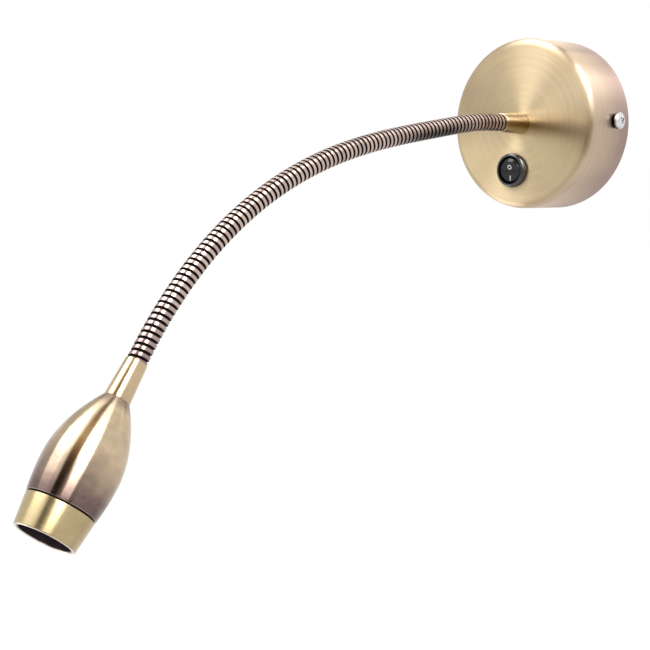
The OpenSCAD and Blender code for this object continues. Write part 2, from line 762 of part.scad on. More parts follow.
module head_housing() {
    steps = 28;
    rings = [for (k = [0:steps]) let (h = seam_at * k / steps) [head_outer(h), h]];
    color("#a58d72") on_head() difference() {
        rotate_extrude($fn = fine) polygon(concat([[0, 0]], rings, [[0, seam_at]]));
        translate([0, 0, -past]) cylinder(d = thread_d + 2 * slide_fit, h = head_len, $fn = small);
        translate([0, 0, nose_len]) cylinder(d = rear_bore_d, h = head_len, $fn = fine);
        translate([0, 0, shoulder_at]) cylinder(r = housing_bore_r, h = head_len, $fn = fine);
    }
}

// The ring starts a little slimmer than the housing ends
ring_step = 0.2;

module front_ring() {
    mouth_r = mouth_d / 2;
    bore_r = ring_bore_d / 2;
    e = mouth_edge_r;
    color("#d3bd84") on_head() rotate_extrude($fn = fine) difference() {
        union() {
            polygon([[0, flange_end], [housing_bore_r - slide_fit, flange_end],
                [housing_bore_r - slide_fit, ring_start], [seam_r - ring_step, ring_start],
                [mouth_r, head_len - e], [mouth_r - e, head_len - e], [0, head_len - e]]);
            square([mouth_r - e, head_len]);
            translate([mouth_r - e, head_len - e]) circle(r = e, $fn = small);
        }
        translate([0, -past]) square([bore_r, head_len + 2 * past]);
        translate([0, -past]) square([head_d, flange_end + past]);
    }
}

module heat_sink() {
    color("#c4c8cc") on_head() translate([0, 0, shoulder_at]) difference() {
        cylinder(r = housing_bore_r - slide_fit, h = sink_len, $fn = fine);
        translate([0, sink_hole_out, -past]) cylinder(d = sink_hole_d, h = sink_len + 2 * past, $fn = small);
        for (s = [-1, 1]) translate([s * board_screw_out, 0, sink_len - board_screw_len])
            cylinder(d = board_screw_d + 2 * slide_fit, h = board_screw_len + past, $fn = small);
    }
}

// The lead comes up to the board's front through a notch in its edge
module light_board() {
    color("#f2f2ee") on_head() translate([0, 0, sink_end]) difference() {
        cylinder(d = board_d, h = board_t, $fn = fine);
        for (s = [-1, 1]) translate([s * board_screw_out, 0, -past])
            cylinder(d = board_screw_d + 2 * hole_fit, h = board_t + 2 * past, $fn = small);
        translate([0, sink_hole_out, -past]) cylinder(d = sink_hole_d, h = board_t + 2 * past, $fn = small);
        translate([-sink_hole_d / 2, sink_hole_out, -past]) cube([sink_hole_d, board_d, board_t + 2 * past]);
    }
}

// The emitter's dome is sunk a little into its square base
dome_sunk = 0.1;

module light_emitter() {
    color("#f0d23c") on_head() translate([0, 0, sink_end + board_t]) {
        translate([-emitter_w / 2, -emitter_w / 2, 0]) cube([emitter_w, emitter_w, emitter_t]);
        intersection() {
            translate([0, 0, emitter_t]) sphere(r = dome_r, $fn = small);
            translate([0, 0, emitter_t - dome_sunk]) cylinder(r = 2 * dome_r, h = 2 * dome_r, $fn = small);
        }
    }
}

board_screw_head_t = 1.2;
board_screw_recess = [0.5, 2.2, 0.6];

module board_screws() {
    color("#d5d7da") on_head() for (s = [-1, 1]) translate([s * board_screw_out, 0, sink_end + board_t])
        pan_screw(board_screw_d, board_screw_len - board_t / 2, 1.8 * board_screw_d, board_screw_head_t,
            board_screw_recess[0], board_screw_recess[1], board_screw_recess[2]);
}

// The holder stands on the heat sink round the board, and its flange is held by the front ring
module lens_holder() {
    color("#202024") on_head() difference() {
        union() {
            translate([0, 0, sink_end])
                cylinder(d = holder_bore_d + 2 * holder_wall, h = flange_end - sink_end, $fn = fine);
            translate([0, 0, flange_from]) cylinder(r = housing_bore_r - slide_fit, h = flange_t, $fn = fine);
        }
        translate([0, 0, sink_end - past])
            cylinder(d = holder_bore_d, h = flange_from - sink_end + past, $fn = fine);
        translate([0, 0, flange_from - past])
            cylinder(d = lens_d + 2 * slide_fit, h = flange_t + 2 * past, $fn = fine);
    }
}

// A cone with a hollow back over the emitter
module lens() {
    lens_from = sink_end + board_t + emitter_t + dome_r + dome_gap - lens_hollow;
    color("#dfe9ee") on_head() difference() {
        union() {
            translate([0, 0, lens_from])
                cylinder(d1 = lens_back_d, d2 = lens_d, h = flange_from - lens_from, $fn = fine);
            translate([0, 0, flange_from]) cylinder(d = lens_d, h = flange_t, $fn = fine);
        }
        translate([0, 0, lens_from - past])
            cylinder(d = lens_back_d - 2 * lens_rim, h = lens_hollow + past, $fn = small);
    }
}

// A dark tube in front of the lens that hides it from the side
module glare_tube() {
    outer = ring_bore_d - 2 * slide_fit;
    color("#17171a") on_head() translate([0, 0, flange_end])
        ring(outer, outer - 2 * glare_wall, head_len - glare_back - flange_end);
}

wall_bracket();
canopy();
canopy_screws();
upper_ferrule();
upper_washer();
upper_nut();
switch_body();
switch_rocker();
rocker_marks();
switch_terminals();
driver_pad();
driver_case();
driver_board();
terminal_block();
terminal_inserts();
terminal_screws();
earth_screw();
live_wire();
switched_wire();
neutral_wire();
earth_ring();
arm_lead();
hose_link(0);  // hose_link_01
hose_link(1);  // hose_link_02
hose_link(2);  // hose_link_03
hose_link(3);  // hose_link_04
hose_link(4);  // hose_link_05
hose_link(5);  // hose_link_06
hose_link(6);  // hose_link_07
hose_link(7);  // hose_link_08
hose_link(8);  // hose_link_09
hose_link(9);  // hose_link_10
hose_link(10);  // hose_link_11
hose_link(11);  // hose_link_12
hose_link(12);  // hose_link_13
hose_link(13);  // hose_link_14
hose_link(14);  // hose_link_15
hose_link(15);  // hose_link_16
lower_ferrule();
lower_nut();
head_housing();
front_ring();
heat_sink();
light_board();
light_emitter();
board_screws();
lens_holder();
lens();
glare_tube();
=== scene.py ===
import bmesh
import bpy
import math
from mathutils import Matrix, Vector


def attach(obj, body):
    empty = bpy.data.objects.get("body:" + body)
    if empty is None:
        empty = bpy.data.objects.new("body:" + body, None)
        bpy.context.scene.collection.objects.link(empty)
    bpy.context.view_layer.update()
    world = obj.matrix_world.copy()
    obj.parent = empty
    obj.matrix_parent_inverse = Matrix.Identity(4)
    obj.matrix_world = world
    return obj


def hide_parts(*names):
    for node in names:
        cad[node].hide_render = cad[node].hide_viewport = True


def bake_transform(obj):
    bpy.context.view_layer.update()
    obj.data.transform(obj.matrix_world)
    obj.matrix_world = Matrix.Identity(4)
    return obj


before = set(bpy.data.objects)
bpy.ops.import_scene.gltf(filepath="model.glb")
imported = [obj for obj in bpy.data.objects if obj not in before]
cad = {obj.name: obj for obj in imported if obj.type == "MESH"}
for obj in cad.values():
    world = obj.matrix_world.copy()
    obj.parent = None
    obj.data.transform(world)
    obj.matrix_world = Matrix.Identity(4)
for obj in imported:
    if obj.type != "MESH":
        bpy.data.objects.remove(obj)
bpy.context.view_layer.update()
mm = 0.001
print("frame loaded:", len(cad), "nodes")


# Camera at the photograph's viewing angle
viewpoint = {"place": (524.14, -772.20, -33.56), "looksAlong": (-0.677587, 0.729170, -0.095846),
             "sensor": 36, "focalInPixels": 1500, "pictureInPixels": 650}


def setCamera():
    lens = bpy.data.cameras.new("camera")
    lens.sensor_width = viewpoint["sensor"]
    lens.lens = viewpoint["sensor"] * viewpoint["focalInPixels"] / viewpoint["pictureInPixels"]
    camera = bpy.data.objects.new("camera", lens)
    camera.location = Vector(viewpoint["place"]) * mm
    camera.rotation_euler = Vector(viewpoint["looksAlong"]).to_track_quat("-Z", "Y").to_euler()
    bpy.context.scene.collection.objects.link(camera)
    bpy.context.scene.camera = camera


setCamera()


# The lamp's main lines, in millimetres: the stem hangs in the plane x = 0
stem = {"rootOut": 58, "links": 16, "linkLength": 19.5, "rootBend": 8, "rootBendLength": 28,
        "droop": 60.5, "droopFrom": 55, "droopLength": 350}
ferrule = {"length": 20, "tip": 5.4, "foot": 6.4, "thread": 4.9, "bore": 2, "spigot": 2.95, "spigotLength": 6,
           "washer": 1, "nutAndThread": 4.5, "around": 96}
canopy = {"depth": 38, "wall": 1.2}
sideways = Vector((1, 0, 0))


def ease(t):
    t = max(0, min(1, t))
    return t * t * (3 - 2 * t)


# Slope of a link below level, in radians
def slopeOf(link):
    s = link * stem["linkLength"]
    return math.radians(stem["rootBend"] * ease(s / stem["rootBendLength"])
                        + stem["droop"] * ease((s - stem["droopFrom"]) / stem["droopLength"]))


def headingAt(slope):
    return Vector((0, -math.cos(slope), -math.sin(slope)))


def upAt(slope):
    return Vector((0, -math.sin(slope), math.cos(slope)))


slopes = [slopeOf(i) for i in range(stem["links"])]
linkEnds = [Vector((0, -stem["rootOut"], 0))]
for slope in slopes:
    linkEnds.append(linkEnds[-1] + headingAt(slope) * stem["linkLength"])
linkMiddles = [(a + b) / 2 for a, b in zip(linkEnds, linkEnds[1:])]
headSlope = slopes[-1]
headAxis = headingAt(headSlope)
headFoot = linkEnds[-1] + headAxis * ferrule["length"]


# Point on the stem's middle line and its slope there: straight at both ends, arcs between the links' middles
def stemLine(s):
    steps = s / stem["linkLength"] - 0.5
    i = max(0, min(stem["links"] - 1, math.floor(steps)))
    if steps < 0 or i == stem["links"] - 1:
        return linkMiddles[i] + headingAt(slopes[i]) * (steps - i) * stem["linkLength"], slopes[i]
    turn = slopes[i + 1] - slopes[i]
    radius = stem["linkLength"] / 2 / math.tan(turn / 2)
    slope = slopes[i] + turn * (steps - i)
    bend = Vector((0, math.sin(slopes[i]) - math.sin(slope), math.cos(slope) - math.cos(slopes[i])))
    return linkMiddles[i] + bend * radius, slope


# Point at a radius and an angle round the stem, in millimetres and radians
def onStem(s, radius, angle):
    middle, slope = stemLine(s)
    return middle + radius * (math.cos(angle) * sideways + math.sin(angle) * upAt(slope))


# A turned piece's frame: a point on its axis, the axis, and the direction that angles start to turn to
def axisFrame(origin, along):
    return origin, along, along.cross(sideways)


canopyFace = axisFrame(Vector((0, -canopy["depth"], 0)), Vector((0, -1, 0)))
headFrame = axisFrame(headFoot, headAxis)
lowerFerruleFrame = axisFrame(headFoot, -headAxis)


def onAxis(place, radius, height, angle):
    origin, along, up = place
    return origin + along * height + radius * (math.cos(angle) * sideways + math.sin(angle) * up)


# Makes an object from points in millimetres, with one (u, v) pair for each corner of each face
def makePiece(name, points, faces, corners, crease=35):
    mesh = bpy.data.meshes.new(name)
    mesh.from_pydata([p * mm for p in points], [], faces)
    layer = mesh.uv_layers.new(name="turned")
    layer.data.foreach_set("uv", [value for pair in corners for value in pair])
    tidyMesh(mesh, crease)
    piece = bpy.data.objects.new(name, mesh)
    bpy.context.scene.collection.objects.link(piece)
    return piece


def tidyMesh(mesh, crease):
    work = bmesh.new()
    work.from_mesh(mesh)
    bmesh.ops.recalc_face_normals(work, faces=work.faces)
    work.to_mesh(mesh)
    work.free()
    mesh.shade_smooth()
    mesh.set_sharp_from_angle(angle=math.radians(crease))


# Rounds the corners of a closed outline: each corner is radius, height and fillet
def rounded(corners, steps=4):
    outline = []
    for i, (radius, height, fillet) in enumerate(corners):
        here = Vector((radius, height))
        if not fillet:
            outline.append(here)
            continue
        before = (Vector(corners[i - 1][:2]) - here).normalized()
        after = (Vector(corners[(i + 1) % len(corners)][:2]) - here).normalized()
        half = before.angle(after) / 2
        middle = here + (before + after).normalized() * fillet / math.sin(half)
        first = here + before * fillet / math.tan(half) - middle
        last = here + after * fillet / math.tan(half) - middle
        whole = first.angle(last)
        for k in range(steps + 1):
            part = whole * k / steps
            arm = (first * math.sin(whole - part) + last * math.sin(part)) / math.sin(whole)
            outline.append(middle + arm)
    return outline


# Turns a closed outline round an axis; u counts turns and v millimetres along the outline
def turned(name, outline, place, around=144):
    count = len(outline)
    travel = [0]
    for i in range(count):
        travel.append(travel[-1] + (outline[(i + 1) % count] - outline[i]).length)
    points = [onAxis(place, r, h, 2 * math.pi * k / around) for k in range(around) for r, h in outline]
    faces, corners = [], []
    for k in range(around):
        here, there = k * count, (k + 1) % around * count
        for i in range(count):
            j = (i + 1) % count
            faces.append((here + i, there + i, there + j, here + j))
            corners += [(k / around, travel[i]), ((k + 1) / around, travel[i]),
                        ((k + 1) / around, travel[i + 1]), (k / around, travel[i + 1])]
    return makePiece(name, points, faces, corners)


# Skins rings of equal count into a closed tube
def skinned(name, rings, crease=35):
    sides = len(rings[0])
    points = [p for ring in rings for p in ring]
    faces, corners = [], []
    for i in range(len(rings) - 1):
        for k in range(sides):
            a, b = i * sides + k, i * sides + (k + 1) % sides
            faces.append((a, b, b + sides, a + sides))
            corners += [(k / sides, i), ((k + 1) / sides, i), ((k + 1) / sides, i + 1), (k / sides, i + 1)]
    for first in (0, (len(rings) - 1) * sides):
        faces.append(tuple(range(first, first + sides)))
        corners += [(0.5, 0.5)] * sides
    return makePiece(name, points, faces, corners, crease)


# Catmull-Rom curve through given points
def smoothRoute(route, steps=8):
    line = []
    for i in range(len(route) - 1):
        a, b, c, d = route[max(i - 1, 0)], route[i], route[i + 1], route[min(i + 2, len(route) - 1)]
        for k in range(steps):
            t = k / steps
            line.append(0.5 * (2 * b + (c - a) * t + (2 * a - 5 * b + 4 * c - d) * t * t
                               + (3 * b - a - 3 * c + d) * t ** 3))
    return line + [route[-1]]


# Round tube along a line of points
def wireAlong(name, line, diameter, sides=16):
    rings = []
    side = sideways.copy()
    for i, point in enumerate(line):
        ahead = (line[min(i + 1, len(line) - 1)] - line[max(i - 1, 0)]).normalized()
        side = side - ahead * side.dot(ahead)
        if side.length < 0.2:  # the line runs along the first side
            side = Vector((0, 0, 1)) - ahead * ahead.z
        side.normalize()
        other = ahead.cross(side)
        rings.append([point + diameter / 2 * (math.cos(a) * side + math.sin(a) * other)
                      for a in (2 * math.pi * k / sides for k in range(sides))])
    return skinned(name, rings, 60)


# Adds a shader node: feeds maps its inputs to values or to other nodes' sockets
def add(tree, kind, feeds=None, **settings):
    node = tree.nodes.new("ShaderNode" + kind)
    for key, value in settings.items():
        setattr(node, key, value)
    for key, value in (feeds or {}).items():
        if isinstance(value, bpy.types.NodeSocket):
            tree.links.new(value, node.inputs[key])
        else:
            node.inputs[key].default_value = value
    return node


def newFinish(name, **surface):
    finish = bpy.data.materials.new(name)
    finish.use_nodes = True
    tree = finish.node_tree
    tree.nodes.clear()
    shader = add(tree, "BsdfPrincipled", surface)
    add(tree, "OutputMaterial", {"Surface": shader.outputs[0]})
    return finish, tree, shader


def wire(tree, socket, shader, name):
    tree.links.new(socket, shader.inputs[name])


def calc(tree, operation, a, b=0.0):
    return add(tree, "Math", {0: a, 1: b}, operation=operation).outputs[0]


# Value from lowFrom..highFrom mapped to lowTo..highTo, clamped
def mapped(tree, value, lowFrom, highFrom, lowTo, highTo):
    return add(tree, "MapRange", {"Value": value, "From Min": lowFrom, "From Max": highFrom,
                                  "To Min": lowTo, "To Max": highTo}).outputs[0]


def mixed(tree, factor, first, second, blend="MIX"):
    feeds = {0: factor, 1: first if isinstance(first, bpy.types.NodeSocket) else (*first, 1),
             2: second if isinstance(second, bpy.types.NodeSocket) else (*second, 1)}
    return add(tree, "MixRGB", feeds, blend_type=blend).outputs[0]


def noise(tree, vector, scale, detail=3.0, rough=0.5):
    return add(tree, "TexNoise", {"Vector": vector, "Scale": scale, "Detail": detail,
                                  "Roughness": rough}).outputs[0]


# The piece's own place in millimetres
def placeInPiece(tree):
    place = add(tree, "TexCoord").outputs["Object"]
    return add(tree, "VectorMath", {0: place, "Scale": 1 / mm}, operation="SCALE").outputs[0]


def parts(tree, vector):
    return add(tree, "SeparateXYZ", {0: vector}).outputs


def combined(tree, x, y, z=0.0):
    return add(tree, "CombineXYZ", {0: x, 1: y, 2: z}).outputs[0]


def bumped(tree, shader, height, strength, depth):
    bump = add(tree, "Bump", {"Height": height, "Strength": strength, "Distance": depth * mm})
    wire(tree, bump.outputs[0], shader, "Normal")


# What all brushed metal shares: how far the noises spread, and how the brush lines change gloss and surface
brush = {"cloudSpan": (0.38, 0.72), "lineSpan": (0.3, 0.7), "roughSpan": (0.6, 1.4), "roughSwing": 0.04,
         "dullAndShadeRough": 0.3, "depth": 0.05, "bandSeed": 7.0, "turn": 0.25}


# Brushed metal: across counts millimetres over the brush lines and along runs slowly with them;
# the masks run from 0 to 1 where the metal darkens to its dark tone (tarnish, a darker canopy side, and
# painted shade on the canopy's ferrule), where it turns dull inside the canopy and black as painted shade in
# seams and bores, and where it turns paler (paler zones, and a painted highlight on the head's edge)
def brushed(finish, tree, shader, look, across, along, shade=None, dullAndShade=None, paleAndHighlight=None):
    lines = noise(tree, combined(tree, calc(tree, "MULTIPLY", across, look["lines"]), along), 1.0, 4.0, 0.6)
    broad = combined(tree, calc(tree, "MULTIPLY", across, look["bands"]), along, brush["bandSeed"])
    bands = noise(tree, broad, 1.0, 2.0)
    clouds = noise(tree, placeInPiece(tree), look["clouds"], 3.0)
    darkMix = mapped(tree, clouds, *brush["cloudSpan"], 0.0, look["patina"])
    if shade is not None:
        darkMix = calc(tree, "MAXIMUM", calc(tree, "MINIMUM", calc(tree, "ADD", shade, darkMix), 1.0), darkMix)
    colour = mixed(tree, darkMix, look["colour"], look["darkTone"])
    if paleAndHighlight is not None:
        colour = mixed(tree, paleAndHighlight, colour, look["paleAndHighlight"])
    levels = (*brush["lineSpan"], 1 - look["contrast"], 1 + look["contrast"])
    tint = calc(tree, "MULTIPLY", mapped(tree, lines, *levels), mapped(tree, bands, *levels))
    colour = mixed(tree, 1.0, colour, combined(tree, tint, tint, tint), "MULTIPLY")
    if dullAndShade is not None:
        colour = mixed(tree, dullAndShade, colour, look["dullAndShade"])
    wire(tree, colour, shader, "Base Color")
    rough = mapped(tree, calc(tree, "ADD", lines, clouds), *brush["roughSpan"],
                   look["rough"] - brush["roughSwing"], look["rough"] + brush["roughSwing"])
    if dullAndShade is not None:
        rough = calc(tree, "ADD", rough, calc(tree, "MULTIPLY", dullAndShade, brush["dullAndShadeRough"]))
    wire(tree, rough, shader, "Roughness")
    bumped(tree, shader, calc(tree, "ADD", lines, bands), look["bump"], brush["depth"])
    return finish


def uvParts(tree):
    return parts(tree, add(tree, "UVMap", uv_map="turned").outputs[0])


def followTurns(tree, shader):
    wire(tree, add(tree, "Tangent", direction_type="UV_MAP", uv_map="turned").outputs[0], shader, "Tangent")


# Sine of the angle round the axis, where u counts turns
def heightOnTurn(tree, u):
    return calc(tree, "SINE", calc(tree, "MULTIPLY", u, 2 * math.pi))


# Distances from start and the values there, as mapped() takes them
def spanFrom(start, first, last, low, high):
    return start + first, start + last, low, high


# Metal brushed round its axis, on a piece made by turned(); zones gives from v where the metal darkens
# (tarnish, and painted shade on the canopy's ferrule), where it is black as painted shade, and where it is
# paler, as a painted highlight on the head's edge
def turnedFinish(name, look, zones=None):
    finish, tree, shader = newFinish(name, Metallic=1.0, Anisotropic=look["spread"])
    shader.inputs["Anisotropic Rotation"].default_value = brush["turn"]
    followTurns(tree, shader)
    u, v, _ = uvParts(tree)
    slow = calc(tree, "MULTIPLY", heightOnTurn(tree, u), look["sweep"])
    return brushed(finish, tree, shader, look, v, slow, **(zones(tree, v) if zones else {}))


# Canopy: brass plate brushed in circles on the face and round the side, duller inside
canopyLook = {"colour": (0.57, 0.45, 0.27), "darkTone": (0.41, 0.30, 0.26), "paleAndHighlight": (0.63, 0.49, 0.37),
              "dullAndShade": (0.26, 0.22, 0.16), "lines": 2.6, "bands": 0.45, "contrast": 0.045, "patina": 0.3,
              "rough": 0.36, "spread": 0.93, "bump": 0.04, "clouds": 0.035, "sweep": 0.02,
              "skinEdge": (45.5, 33.5, 3.9), "sideFrom": (47, 49.5), "sideDepths": (6, 34),
              "sideDarkening": (0.9, 0.3), "sidePaling": (0.0, 0.75), "hole": (14.5, 1, 4.3),
              "black": (0.02, 0.018, 0.016)}


def canopyFinish():
    look = canopyLook
    finish, tree, shader = newFinish("canopy brass", Metallic=1.0, Anisotropic=look["spread"])
    shader.inputs["Anisotropic Rotation"].default_value = brush["turn"]
    x, y, z = parts(tree, placeInPiece(tree))
    ray = add(tree, "VectorMath", {0: combined(tree, x, 0.0, z)}, operation="LENGTH").outputs["Value"]
    depth = calc(tree, "MULTIPLY", y, -1.0)
    alongBrush = combined(tree, z, 0.0, calc(tree, "MULTIPLY", x, -1.0))
    tangent = add(tree, "VectorTransform", {0: alongBrush}, vector_type="VECTOR", convert_from="OBJECT",
                  convert_to="WORLD").outputs[0]
    wire(tree, tangent, shader, "Tangent")
    # The rounded rim's centre line parts the outer skin from the dull inside
    rimRay, rimDepth, skin = look["skinEdge"]
    past = combined(tree, calc(tree, "MAXIMUM", calc(tree, "SUBTRACT", ray, rimRay), 0.0),
                    calc(tree, "MAXIMUM", calc(tree, "SUBTRACT", depth, rimDepth), 0.0))
    reach = add(tree, "VectorMath", {0: past}, operation="LENGTH").outputs["Value"]
    inside = calc(tree, "LESS_THAN", reach, skin)
    # Painted shade: the side screws' holes are painted black
    fromWall, height, reachOfHole = look["hole"]
    off = combined(tree, calc(tree, "SUBTRACT", depth, fromWall), calc(tree, "SUBTRACT", z, height))
    hole = calc(tree, "LESS_THAN", add(tree, "VectorMath", {0: off}, operation="LENGTH").outputs["Value"],
                reachOfHole)
    # The side is redder than the face, darker near the wall and paler towards the rim
    onSide = mapped(tree, ray, *look["sideFrom"], 0.0, 1.0)
    side = calc(tree, "MULTIPLY", onSide, mapped(tree, depth, *look["sideDepths"], *look["sideDarkening"]))
    palerSide = calc(tree, "MULTIPLY", onSide, mapped(tree, depth, *look["sideDepths"], *look["sidePaling"]))
    slow = calc(tree, "MULTIPLY", calc(tree, "ADD", x, z), look["sweep"])
    brushed(finish, tree, shader, look, calc(tree, "ADD", ray, depth), slow, side, inside, palerSide)
    # Painted shade: black over the brass in the holes
    brass = shader.inputs["Base Color"].links[0].from_socket
    wire(tree, mixed(tree, calc(tree, "MULTIPLY", hole, inside), brass, look["black"]), shader, "Base Color")
    return finish


# Moulded or printed stuff of the small and hidden pieces: a fine grain in colour, gloss and surface
def mouldedFinish(name, colour, rough, grain=0.6, depth=0.01, mottle=0.12, **surface):
    finish, tree, shader = newFinish(name, **surface)
    place = placeInPiece(tree)
    fine = noise(tree, place, grain * 6, 3.0)
    broad = noise(tree, place, grain * 0.3, 2.0)
    dark = tuple(c * (1 - mottle) for c in colour)
    light = tuple(min(1, c * (1 + mottle)) for c in colour)
    wire(tree, mixed(tree, mapped(tree, broad, 0.35, 0.65, 0.0, 1.0), dark, light), shader, "Base Color")
    wire(tree, mapped(tree, fine, 0.3, 0.7, rough * 0.85, rough * 1.15), shader, "Roughness")
    bumped(tree, shader, fine, 0.3, depth)
    return finish


# Plated or turned metal of the small parts
def platedFinish(name, colour, rough, scratch=1.5, mottle=0.12):
    return mouldedFinish(name, colour, rough, scratch, 0.004, mottle, Metallic=1.0)


def dress(finish, *names):
    for name in names:
        mesh = cad[name].data
        mesh.materials.clear()
        mesh.materials.append(finish)


zincSteel = platedFinish("zinc plate", (0.60, 0.61, 0.64), 0.38, 0.5, 0.2)
plainBrass = platedFinish("turned brass", (0.72, 0.55, 0.28), 0.3)
tinned = platedFinish("tinned copper", (0.68, 0.70, 0.71), 0.35)
aluminium = platedFinish("bare aluminium", (0.72, 0.73, 0.75), 0.4)
blackGloss = mouldedFinish("black switch plastic", (0.010, 0.010, 0.012), 0.26, 0.8, 0.004,
                           **{"Specular IOR Level": 0.3})
bezelGloss = mouldedFinish("polished switch bezel", (0.012, 0.013, 0.015), 0.2, 0.8, 0.003,
                           **{"Specular IOR Level": 0.9})
markWhite = mouldedFinish("white print", (0.85, 0.85, 0.84), 0.4)
foam = mouldedFinish("foam pad", (0.78, 0.76, 0.71), 0.9, 2.0, 0.08)
whiteShell = mouldedFinish("white driver shell", (0.82, 0.82, 0.80), 0.42)
nylon = mouldedFinish("natural nylon", (0.80, 0.77, 0.68), 0.45)
boardWhite = mouldedFinish("white solder mask", (0.80, 0.80, 0.78), 0.35)
phosphor = mouldedFinish("phosphor", (0.85, 0.62, 0.10), 0.3)
holderBlack = mouldedFinish("matt black holder", (0.018, 0.017, 0.02), 0.5)
tubeBlack = mouldedFinish("black glare tube", (0.045, 0.030, 0.042), 0.27)
# The bracket's black coat also stands in for the shade seen through the canopy's side holes
bracketBlack = mouldedFinish("black bracket coat", (0.035, 0.035, 0.038), 0.42, 0.9, 0.01)
circuitGreen = mouldedFinish("circuit board", (0.05, 0.22, 0.09), 0.35)
leadBlack = mouldedFinish("black sheath", (0.02, 0.02, 0.022), 0.45)
brownWire = mouldedFinish("brown insulation", (0.20, 0.09, 0.035), 0.4)
blackWire = mouldedFinish("black insulation", (0.02, 0.02, 0.02), 0.4)
blueWire = mouldedFinish("blue insulation", (0.03, 0.10, 0.42), 0.4)
clearLens = mouldedFinish("clear lens", (0.96, 0.97, 0.98), 0.03, 0.3, 0.001, 0.01,
                          **{"Transmission Weight": 1.0, "IOR": 1.49})

# Side screws: bright nickel heads, with black painted shade over the shanks and the part of the heads nearest
# the canopy, parted at a distance from the lamp's middle plane
screwLook = {"colour": (0.66, 0.66, 0.67), "rough": 0.3, "black": (0.012, 0.01, 0.01),
             "shank": (52.2, 52.8, 1.0, 0.0)}


def screwFinish():
    look = screwLook
    finish = platedFinish("bright nickel", look["colour"], look["rough"])
    tree = finish.node_tree
    shader = next(node for node in tree.nodes if node.type == "BSDF_PRINCIPLED")
    nickel = shader.inputs["Base Color"].links[0].from_socket
    x, _, _ = parts(tree, placeInPiece(tree))
    # Painted shade: the shanks and the heads' inner part are black
    shank = mapped(tree, calc(tree, "ABSOLUTE", x), *look["shank"])
    wire(tree, mixed(tree, shank, nickel, look["black"]), shader, "Base Color")
    return finish


dress(canopyFinish(), "canopy")
dress(bracketBlack, "wall_bracket")
dress(zincSteel, "upper_washer", "terminal_screws", "board_screws")
dress(plainBrass, "upper_nut", "lower_nut", "switch_terminals", "terminal_inserts", "earth_screw")
dress(screwFinish(), "canopy_screws")
dress(tinned, "earth_ring")
dress(aluminium, "heat_sink")
dress(bezelGloss, "switch_body")
dress(blackGloss, "switch_rocker")
dress(markWhite, "rocker_marks")
dress(foam, "driver_pad")
dress(whiteShell, "driver_case")
dress(circuitGreen, "driver_board")
dress(nylon, "terminal_block")
dress(boardWhite, "light_board")
dress(phosphor, "light_emitter")
dress(holderBlack, "lens_holder")
dress(tubeBlack, "glare_tube")
dress(clearLens, "lens")
print("finishes made")


def settle(piece, body, slot, finish, *replaced):
    piece.data.materials.append(finish)
    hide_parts(*replaced)
    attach(piece, body)


# Head: a full curve out to the widest place and a flatter one in to the seam
head = {"length": 70, "radius": 18.6, "widest": 35.5, "neck": 6.45, "fullness": 1.95, "seam": 54,
        "seamRadius": 16.9, "seamGap": 0.8, "wall": 1.6, "shoulder": 24, "rearBore": 9, "nose": 6,
        "fit": 0.05, "edge": 0.12, "innerEdge": 0.1, "rearEdge": 0.2, "curveSteps": 60}
headLook = {"colour": (0.64, 0.50, 0.33), "darkTone": (0.165, 0.112, 0.104), "paleAndHighlight": (0.55, 0.43, 0.38),
            "dullAndShade": (0.02, 0.012, 0.01), "lines": 2.2, "bands": 0.35, "contrast": 0.03, "patina": 0.32,
            "clouds": 0.09, "rough": 0.215, "spread": 0.9, "bump": 0.02, "sweep": 0.6,
            "smoke": (29, 57, 0.0, 1.0), "neckSmoke": (4.5, 9, 0.5, 0.0), "edgeHighlight": (0.15, 0.4, 0.6, 0.0),
            "seamShade": (0.3, 0.7, 0.0, 1.0)}


def headRadius(h):
    if h < head["widest"]:
        rise = 1 - (1 - h / head["widest"]) ** head["fullness"]
        return head["neck"] + (head["radius"] - head["neck"]) * rise
    part = (h - head["widest"]) / (head["seam"] - head["widest"])
    return head["radius"] - (head["radius"] - head["seamRadius"]) * part ** 2


curveLength = sum(math.hypot(1, headRadius(h + 1) - headRadius(h)) for h in range(head["seam"]))


# Smoked towards the seam, with a painted highlight paling the edge above it and painted shade in black below
# it, in the seam
def headZones(tree, v):
    look, edge = headLook, curveLength + head["neck"] - ferrule["thread"]
    neck = mapped(tree, v, *look["neckSmoke"])
    fromEdge = calc(tree, "ABSOLUTE", calc(tree, "SUBTRACT", v, edge))
    return {"shade": calc(tree, "ADD", neck, mapped(tree, v, *look["smoke"])),
            "paleAndHighlight": mapped(tree, fromEdge, *look["edgeHighlight"]),
            "dullAndShade": mapped(tree, v, *spanFrom(edge, *look["seamShade"]))}


def makeHousing():
    bore, hole = head["seamRadius"] - head["wall"], ferrule["thread"] + head["fit"]
    curve = [(headRadius(h), h, 0) for h in
             (head["seam"] * k / head["curveSteps"] for k in range(1, head["curveSteps"]))]
    outline = rounded([(hole, 0, 0), (head["neck"], 0, head["edge"])] + curve
                      + [(head["seamRadius"], head["seam"], head["edge"]),
                         (bore, head["seam"], head["innerEdge"]), (bore, head["shoulder"], 0),
                         (head["rearBore"], head["shoulder"], head["rearEdge"]),
                         (head["rearBore"], head["nose"], 0), (hole, head["nose"], 0)])
    housing = turned("head_shell", outline, headFrame)
    settle(housing, "head", "head_bronze", turnedFinish("head bronze", headLook, headZones), "head_housing")


